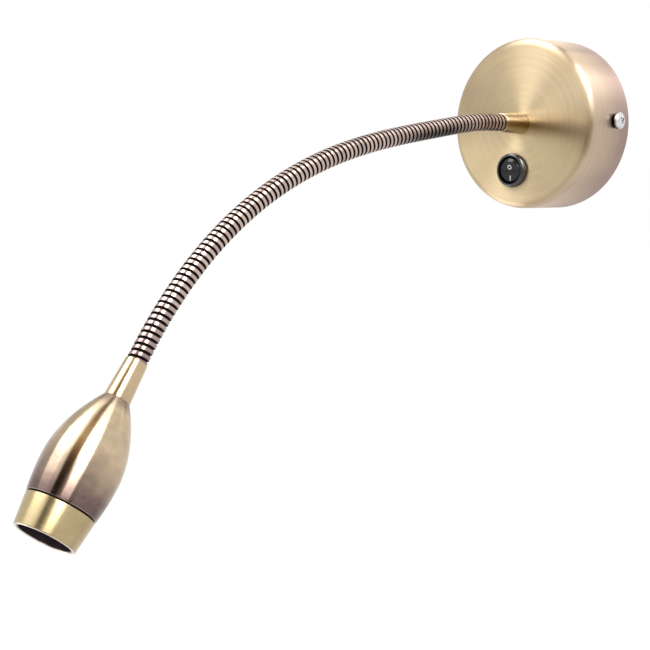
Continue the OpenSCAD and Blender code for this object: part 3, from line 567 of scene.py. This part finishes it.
# Front ring with its rounded mouth and the spigot in the housing
ring = {"mouth": 14.9, "bore": 13.4, "step": 0.2, "spigot": 6, "fit": 0.05, "edge": 0.8, "innerEdge": 0.35,
        "backEdge": 0.2, "edgeSteps": 6}
ringLook = {"colour": (0.49, 0.395, 0.22), "darkTone": (0.385, 0.29, 0.155), "dullAndShade": (0.035, 0.026, 0.032),
            "paleAndHighlight": (0.76, 0.67, 0.60), "lines": 2.5, "bands": 0.5, "contrast": 0.025, "patina": 0.5,
            "clouds": 0.08, "rough": 0.3, "spread": 0.6, "bump": 0.012, "sweep": 0.6,
            "spigotShade": (0.3, 0.6, 1.0, 0.0), "boreShade": (-0.9, -0.5, 0.0, 1.0),
            "lipPaling": (-2.9, -2.2, 0.0, 0.85)}


# Painted shade: the spigot in the seam and the bore are painted black, and the outside pales just before the
# lip
def ringZones(tree, v):
    spigotEnd = head["seamRadius"] - head["wall"] - ring["bore"] + ring["spigot"] + head["seamGap"]
    lip = spigotEnd + head["wall"] + head["length"] - head["seam"] + ring["mouth"] - ring["bore"]
    spigot = mapped(tree, v, *spanFrom(spigotEnd, *ringLook["spigotShade"]))
    bore = mapped(tree, v, *spanFrom(lip, *ringLook["boreShade"]))
    return {"dullAndShade": calc(tree, "MAXIMUM", spigot, bore),
            "paleAndHighlight": mapped(tree, v, *spanFrom(lip, *ringLook["lipPaling"]))}


def makeRing():
    spigotRadius = head["seamRadius"] - head["wall"] - ring["fit"]
    start, foot = head["seam"] + head["seamGap"], head["seam"] - ring["spigot"]
    outline = rounded([(ring["bore"], foot, ring["backEdge"]), (spigotRadius, foot, ring["backEdge"]),
                       (spigotRadius, start, 0),
                       (head["seamRadius"] - ring["step"], start, ring["backEdge"]),
                       (ring["mouth"], head["length"], ring["edge"]),
                       (ring["bore"], head["length"], ring["innerEdge"])], ring["edgeSteps"])
    piece = turned("mouth_ring", outline, headFrame)
    settle(piece, "head", "ring_brass", turnedFinish("ring brass", ringLook, ringZones), "front_ring")


# Ferrules: a slim cone with a threaded shank below and a spigot in the stem, each corner with its fillet
ferruleLook = {"colour": (0.58, 0.445, 0.28), "darkTone": (0.44, 0.31, 0.18), "lines": 3.0, "bands": 0.8,
               "contrast": 0.04, "patina": 0.4, "clouds": 0.1, "rough": 0.26, "spread": 0.75, "bump": 0.04,
               "sweep": 0.5}
# The canopy's ferrule: a paler copy of the ferrule brass as a painted highlight, and a dark tone for its
# painted shade
collarLook = {**ferruleLook, "colour": (0.74, 0.63, 0.46), "darkTone": (0.32, 0.205, 0.055), "patina": 0.12,
              "shadeAbove": (0.05, 0.35, 0.9, 0.0), "shadeBelow": (-0.75, -0.35, 0.35, 0.9)}


# Painted shade: the canopy's ferrule is darkened along its middle and less below, standing in for the
# reflections on it
def collarZones(tree, v):
    u, _, _ = uvParts(tree)
    height = heightOnTurn(tree, u)
    above = mapped(tree, height, *collarLook["shadeAbove"])
    below = mapped(tree, height, *collarLook["shadeBelow"])
    return {"shade": calc(tree, "MINIMUM", above, below)}


def makeFerrule(name, place, shank, body, node, finish):
    f = ferrule
    end = f["length"] + f["spigotLength"]
    outline = rounded([(f["bore"], -shank, 0.2), (f["thread"], -shank, 0.4), (f["thread"], 0, 0),
                       (f["foot"], 0, 0.15), (f["tip"], f["length"], 0.35), (f["spigot"], f["length"], 0),
                       (f["spigot"], end, 0.2), (f["bore"], end, 0.2)])
    settle(turned(name, outline, place, f["around"]), body, "ferrule_brass", finish, node)


makeHousing()
makeRing()
makeFerrule("canopy_ferrule", canopyFace, canopy["wall"] + ferrule["washer"] + ferrule["nutAndThread"],
            "base", "upper_ferrule", turnedFinish("collar brass", collarLook, collarZones))
makeFerrule("head_ferrule", lowerFerruleFrame, head["nose"] + ferrule["nutAndThread"],
            "head", "lower_ferrule", turnedFinish("ferrule brass", ferruleLook))
print("head and ferrules turned")


# Stem: one right-handed winding, cut at the links' middles so that each stretch bends over one hinge
winding = {"pitch": 3.25, "turnsPerLink": 6, "perTurn": 44, "bore": 3.0, "floor": 4.3, "crown": 5.0,
           "gap": 0.05, "ribHalf": 1.12, "ribEdge": 0.34, "ribFlare": 0.06, "ribSink": 0.03, "edgeSteps": 8}
windingLook = {"colour": (0.62, 0.485, 0.425), "darkTone": (0.27, 0.19, 0.185), "black": (0.07, 0.058, 0.058),
               "groove": (0.006, 0.003, 0.002), "rough": 0.32, "spread": 0.75, "gloss": 0.15,
               "grime": (0.245, 0.285, 0.0, 1.0), "grimeCover": 0.9, "grimeRough": 0.35,
               "patina": (0.4, 0.75, 0.0, 0.6), "tip": (84, 95, 0, 0.75), "below": (-0.25, 0.45, 1, 0),
               "blackAt": 20, "nearRoot": (11 / 3, 11, 0.9, 0), "lines": 14.0, "linesAlong": 0.8,
               "patchesAlong": 1.3}


# Half outline of a turn from the groove's middle to the crown's middle, as radius and place along the stem
def ribOutline():
    w = winding
    half, edge = w["pitch"] / 2 - w["gap"] / 2, w["ribEdge"]
    rise = w["crown"] - w["floor"]
    shoulder = [(w["floor"], half), (w["floor"], w["ribHalf"] + w["ribFlare"]),
                (w["floor"] + 0.1 * rise, w["ribHalf"])]
    for k in range(w["edgeSteps"] + 1):
        part = k / w["edgeSteps"]
        a = math.radians(90 * part)
        shoulder.append((w["crown"] - edge + edge * math.sin(a) - w["ribSink"] * (1 - part),
                         w["ribHalf"] - edge + edge * math.cos(a)))
    shoulder.append((w["crown"], w["ribHalf"] * 0.3))
    outer = shoulder + [(r, -z) for r, z in reversed(shoulder)]
    return outer, [(w["bore"], -half), (w["bore"], half)]


# A stretch of the winding; u counts turns, and v is 0.5 on the crown's middle and below zero inside
def makeStretch(name, firstTurn, lastTurn, cutAt=None):
    outer, bore = ribOutline()
    section = outer + bore
    spots = [0.5 + z / winding["pitch"] for _, z in outer] + [-0.5, -1.5, -2.0]
    count = len(section)
    steps = round((lastTurn - firstTurn) * winding["perTurn"])
    points, faces, corners = [], [], []
    for k in range(steps + 1):
        turn = firstTurn + (lastTurn - firstTurn) * k / steps
        points += [onStem(turn * winding["pitch"] + z, r, 2 * math.pi * turn) for r, z in section]
    for k in range(steps):
        u, nextU = firstTurn + k / winding["perTurn"], firstTurn + (k + 1) / winding["perTurn"]
        for i in range(count):
            a, b = k * count + i, k * count + (i + 1) % count
            faces.append((a, a + count, b + count, b))
            corners += [(u, spots[i]), (nextU, spots[i]), (nextU, spots[i + 1]), (u, spots[i + 1])]
    for first in (0, steps * count):
        faces.append(tuple(range(first, first + count)))
        corners += [(0, -1)] * count
    piece = makePiece(name, points, faces, corners, 50)
    if cutAt:
        point, outward = cutAt
        work = bmesh.new()
        work.from_mesh(piece.data)
        bmesh.ops.bisect_plane(work, geom=work.verts[:] + work.edges[:] + work.faces[:], plane_co=point * mm,
                               plane_no=outward, clear_outer=True)
        bmesh.ops.holes_fill(work, edges=[e for e in work.edges if e.is_boundary])
        work.to_mesh(piece.data)
        work.free()
    return piece


def windingFinish():
    look = windingLook
    finish, tree, shader = newFinish("stem winding", Anisotropic=look["spread"],
                                     **{"Specular IOR Level": look["gloss"]})
    shader.inputs["Anisotropic Rotation"].default_value = brush["turn"]
    followTurns(tree, shader)
    u, v, _ = uvParts(tree)
    fromCrown = calc(tree, "ABSOLUTE", calc(tree, "SUBTRACT", v, 0.5))
    grime = mapped(tree, fromCrown, *look["grime"])
    along = calc(tree, "MULTIPLY", u, look["linesAlong"])
    lines = noise(tree, combined(tree, calc(tree, "MULTIPLY", v, look["lines"]), along), 1.0, 3.0)
    broad = combined(tree, v, calc(tree, "MULTIPLY", u, look["patchesAlong"]), 3.0)
    darkMix = mapped(tree, noise(tree, broad, 1.0, 2.0), *look["patina"])
    # Tarnished towards the head, and darkened below near the root as painted shade
    tip = mapped(tree, u, *look["tip"])
    colour = mixed(tree, calc(tree, "MAXIMUM", darkMix, tip), look["colour"], look["darkTone"])
    away = calc(tree, "ABSOLUTE", calc(tree, "SUBTRACT", u, look["blackAt"]))
    below = mapped(tree, heightOnTurn(tree, u), *look["below"])
    root = calc(tree, "MULTIPLY", below, mapped(tree, away, *look["nearRoot"]))
    colour = mixed(tree, root, colour, look["black"])
    wire(tree, mixed(tree, grime, colour, look["groove"]), shader, "Base Color")
    covered = calc(tree, "MULTIPLY", grime, look["grimeCover"])
    wire(tree, calc(tree, "SUBTRACT", 1.0, covered), shader, "Metallic")
    gloss = mapped(tree, lines, *brush["lineSpan"], look["rough"] - 0.05, look["rough"] + 0.06)
    rough = calc(tree, "ADD", gloss, calc(tree, "MULTIPLY", grime, look["grimeRough"]))
    wire(tree, rough, shader, "Roughness")
    bumped(tree, shader, lines, 0.1, 0.03)
    return finish


def linkNode(i):
    return f"hose_link_{i + 1:02d}"


def bendBetween(piece, i, slot, finish, *replaced):
    piece.data.materials.append(finish)
    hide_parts(*replaced)
    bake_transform(piece)


def makeWinding():
    finish = windingFinish()
    halfLink = winding["turnsPerLink"] / 2
    lastLink = stem["links"] - 1
    root = makeStretch("stem_root", -1, halfLink, (linkEnds[0], Vector((0, 1, 0))))
    settle(root, "base", "hose_bronze", finish, linkNode(0))
    for i in range(lastLink):
        firstTurn = halfLink + i * winding["turnsPerLink"]
        stretch = makeStretch(f"stem_bend_{i + 1:02d}", firstTurn, firstTurn + winding["turnsPerLink"])
        bendBetween(stretch, i, "hose_bronze", finish, linkNode(i), linkNode(i + 1))
    firstTurn = halfLink + lastLink * winding["turnsPerLink"]
    tip = makeStretch("stem_tip", firstTurn, firstTurn + halfLink + 1, (linkEnds[-1], headAxis))
    settle(tip, "head", "hose_bronze", finish, linkNode(lastLink))


makeWinding()
print("stem wound")


# Wires and lead along the routes of the solids
wires = {"single": 1.8, "lead": 3, "inTerminal": 6.5, "leadSides": 16, "ringsPerBend": 12}
bladeEnd = Vector((-5.6, -18, -27.4))
poleLeft, poleRight = Vector((-26, -7.5, 4)), Vector((-9, -7.5, -4))
driverIn, driverOut = Vector((-19, -25.8, 24)), Vector((19, -25.8, 24))


def near(point, *offsets):
    return [point + Vector(offset) for offset in offsets]


def makeWires():
    lower, upper = bladeEnd + Vector((0, 0, -3.5)), bladeEnd + Vector((0, 0, 3.5))
    live = near(poleRight, (-wires["inTerminal"], 0, 0), (0, 0, 0), (2, 0, 0), (4.5, -0.5, -3)) + near(
        lower, (0, 4.5, 13), (0, 6.5, 6), (0, 4, 0.4), (0, 3, 0), (0, 1.5, 0), (0, 0, 0))
    switched = near(upper, (0, 0, 0), (0, 1.5, 0), (0, 3, 0), (-8, 5, 5)) + [
        Vector((-31, upper.y + 2, -14)), Vector((-35, -18, -2)), Vector((-33, -19, 12))] + near(
        driverIn, (-8, 0, -4), (-3.5, 0, -0.4), (0, 0, 0), (2, 0, 0))
    neutral = near(poleLeft, (wires["inTerminal"], 0, 0), (0, 0, 0), (-2, 0, 0), (-4.5, -1.5, 7)) + near(
        driverIn, (-6, 4, -5), (-3, 2.4, -1), (-1.2, 2.2, 0))
    leads = (("live_lead", live, brownWire, "wire_brown", "live_wire"),
             ("switched_lead", switched, blackWire, "wire_black", "switched_wire"),
             ("neutral_lead", neutral, blueWire, "wire_blue", "neutral_wire"))
    for name, route, finish, slot, node in leads:
        settle(wireAlong(name, smoothRoute(route), wires["single"]), "base", slot, finish, node)


def onHead(along, up):
    return headFoot + headAxis * along + upAt(headSlope) * up


# The lead follows the stem's bends in the same stretches as the winding
def makeLead():
    inCanopy = near(driverOut, (-2, 0, 0), (0, 0, 0), (2, 0, 0), (6, 1.5, -3)) + [
        Vector((24, -17, 12)), Vector((14, -13, 4)), Vector((5, -15, 0.5)), Vector((0, -26.3, 0)),
        Vector((0, -30.3, 0)), Vector((0, -38, 0)), linkEnds[0], linkMiddles[0]]
    settle(wireAlong("lead_in_canopy", smoothRoute(inCanopy), wires["lead"]), "base", "lead_black", leadBlack,
           "arm_lead")
    half, last = stem["linkLength"] / 2, stem["links"] - 1
    for i in range(last):
        rings = []
        for k in range(wires["ringsPerBend"] + 1):
            s = half + (i + k / wires["ringsPerBend"]) * stem["linkLength"]
            rings.append([onStem(s, wires["lead"] / 2, 2 * math.pi * a / wires["leadSides"])
                          for a in range(wires["leadSides"])])
        bendBetween(skinned(f"lead_bend_{i + 1:02d}", rings, 60), i, "lead_black", leadBlack, "arm_lead")
    inHead = [linkMiddles[last], linkEnds[-1], onHead(0, 0), onHead(5.25, 0), onHead(10.5, 0),
              onHead(13.5, 0.8), onHead(21, 6.4), onHead(24, 7.2), onHead(31, 7.2), onHead(39.6, 7.2)]
    settle(wireAlong("lead_in_head", smoothRoute(inHead), wires["lead"]), "head", "lead_black", leadBlack,
           "arm_lead")


makeWires()
makeLead()
print("wires laid")


# Studio: white surroundings, a pale floor, bright and black panels far round the lamp
studio = {"middle": (0, -0.22, -0.08), "distance": 6, "floorHeight": -0.62, "floorReach": 9,
          "floorColour": 0.80, "floorLift": 0.35, "diffuseLevel": 0.85, "panelSteps": 6}

# Each panel's first and last angle round the head's axis, its tilts towards the mouth, its level and colour
white, tan, brown, cool = (1, 1, 1), (1, 0.86, 0.65), (1, 0.6, 0.25), (0.96, 0.94, 1)
panels = {"near strip": (28, 60, -44, -14, 13, white), "near strip low": (28, 53, -14, -3, 8, white),
          "near strip foot": (28, 53, -3, 10, 4.5, white), "near strip top": (28, 60, -58, -44, 2, white),
          "near strip crown": (28, 72, -84, -58, 2, white), "gap crown": (78, 108, -84, -56, 0.03, brown),
          "gap above": (64, 92, -56, -44, 0.45, brown), "gap waist": (61, 86, -44, -30, 1, tan),
          "gap middle": (60, 86, -30, -14, 0.5, brown), "gap": (55, 84, -14, 10, 0.01, brown),
          "gap foot": (67, 86, 10, 26, 0.05, brown), "far strip": (100, 130, -44, -17, 8, white),
          "far strip right": (89, 100, -44, -4, 2.5, white), "far strip low": (100, 134, -17, -4, 4.5, white),
          "far strip left": (130, 138, -44, -17, 4.5, white),
          "far strip top": (110, 134, -84, -44, 1.6, white), "far strip foot": (86, 132, -4, 10, 1.5, white),
          "far strip toe": (100, 138, 10, 30, 1.45, white), "rim card": (52, 67, 10, 52, 0.8, tan),
          "band card": (67, 114, 33, 48, 0.01, brown), "dark room": (16, 52, 10, 52, 0.3, brown),
          "dim ground": (70, 165, 50, 66, 0.5, white), "dim corner": (138, 190, -84, -20, 0.65, white),
          "low card": (169, 204, 30, 54, 4, white), "dim wall": (275, 300, -2, 60, 0.85, cool),
          "high card": (298, 316, -66, -50, 1.6, white), "high card foot": (298, 316, -50, -36, 1.15, white),
          "ceiling card": (215, 250, -72, -52, 1.4, white),
          "ceiling middle": (250, 298, -72, -52, 0.75, white),
          "collar card": (235, 310, -87, -72, 1.8, white)}


def farPoint(angle, tilt):
    a, b = math.radians(angle), math.radians(tilt)
    toward = math.cos(b) * (math.cos(a) * sideways + math.sin(a) * upAt(headSlope)) + math.sin(b) * headAxis
    return Vector(studio["middle"]) + toward * studio["distance"]


# A curved panel that only reflections see
def makePanel(name, firstAngle, lastAngle, firstTilt, lastTilt, level, colour):
    steps = studio["panelSteps"]
    points = [farPoint(firstAngle + (lastAngle - firstAngle) * i / steps,
                       firstTilt + (lastTilt - firstTilt) * j / steps)
              for i in range(steps + 1) for j in range(steps + 1)]
    faces = [(k, k + 1, k + steps + 2, k + steps + 1) for k in range(steps * (steps + 1))
             if k % (steps + 1) != steps]
    mesh = bpy.data.meshes.new(name)
    mesh.from_pydata(points, [], faces)
    panel = bpy.data.objects.new(name, mesh)
    bpy.context.scene.collection.objects.link(panel)
    glow = bpy.data.materials.new(name)
    glow.use_nodes = True
    tree = glow.node_tree
    tree.nodes.clear()
    light = add(tree, "Emission", {"Color": (*colour, 1), "Strength": level})
    add(tree, "OutputMaterial", {"Surface": light.outputs[0]})
    mesh.materials.append(glow)
    panel.visible_camera = panel.visible_diffuse = panel.visible_shadow = False


# One where a ray comes from the camera, a reflection or glass
def seenDirectly(tree):
    path = add(tree, "LightPath").outputs
    return calc(tree, "MAXIMUM", calc(tree, "MAXIMUM", path["Is Camera Ray"], path["Is Glossy Ray"]),
                path["Is Transmission Ray"])


def makeWorld():
    world = bpy.data.worlds.new("studio")
    bpy.context.scene.world = world
    world.use_nodes = True
    tree = world.node_tree
    tree.nodes.clear()
    level = mapped(tree, seenDirectly(tree), 0, 1, studio["diffuseLevel"], 1)
    background = add(tree, "Background", {"Color": (1, 1, 1, 1), "Strength": level})
    add(tree, "OutputWorld", {"Surface": background.outputs[0]})


def makeFloor():
    mesh = bpy.data.meshes.new("floor")
    far = studio["floorReach"]
    corners = [(x, y, studio["floorHeight"]) for x, y in ((-far, -far), (far, -far), (far, far), (-far, far))]
    mesh.from_pydata(corners, [], [(0, 1, 2, 3)])
    floor = bpy.data.objects.new("floor", mesh)
    bpy.context.scene.collection.objects.link(floor)
    paint = bpy.data.materials.new("floor paint")
    paint.use_nodes = True
    tree = paint.node_tree
    tree.nodes.clear()
    pale = add(tree, "BsdfDiffuse", {"Color": (studio["floorColour"],) * 3 + (1,)})
    level = calc(tree, "MULTIPLY", seenDirectly(tree), studio["floorLift"])
    lift = add(tree, "Emission", {"Strength": level})
    both = add(tree, "AddShader", {0: pale.outputs[0], 1: lift.outputs[0]})
    add(tree, "OutputMaterial", {"Surface": both.outputs[0]})
    mesh.materials.append(paint)
    floor.visible_glossy = False  # reflections see the white surroundings and the panels


makeWorld()
makeFloor()
for name, panel in panels.items():
    makePanel(name, *panel)
bpy.context.scene.view_settings.view_transform = "Standard"
print("studio set")
